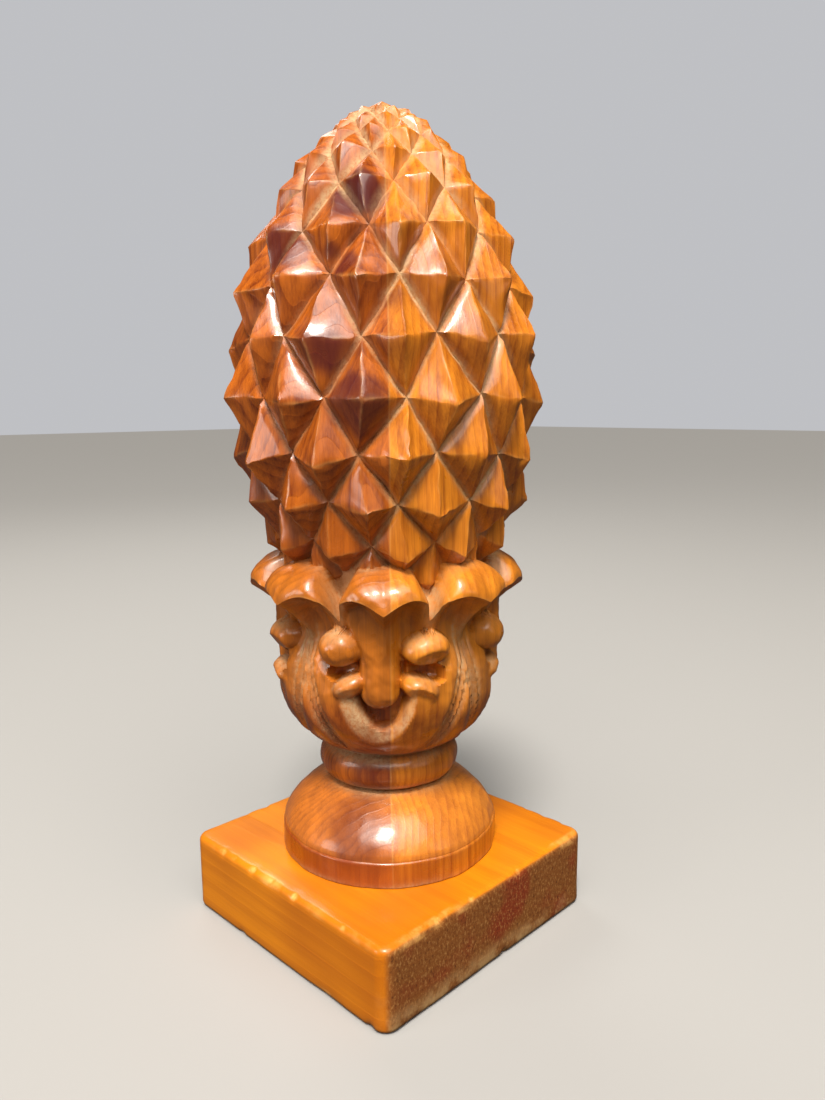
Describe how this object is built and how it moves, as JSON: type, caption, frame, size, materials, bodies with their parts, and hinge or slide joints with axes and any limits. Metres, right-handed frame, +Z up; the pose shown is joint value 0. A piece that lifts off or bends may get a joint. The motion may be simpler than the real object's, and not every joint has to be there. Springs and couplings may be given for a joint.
{
  "type": "pineapple finial",
  "caption": "Carved wooden pineapple finial with diamond scales, a leaf cup, neck ring and round foot, standing on a square base block.",
  "frame": {"origin": "centre of the square base's underside", "axes": "+Z up along the finial's axis; X and Y along the sides of the square base; the picture looks at the corner between +X and -Y"},
  "size_m": [0.106, 0.1044, 0.2795],
  "materials": {
    "base_wood": "honey-orange varnished softwood with worn, pale arrises",
    "carved_wood": "red-brown glossy varnished carving with pale dust in the cuts"
  },
  "bodies": {
    "root": {"square_base": "base_wood", "carved_finial": "carved_wood"}
  },
  "joints": []
}
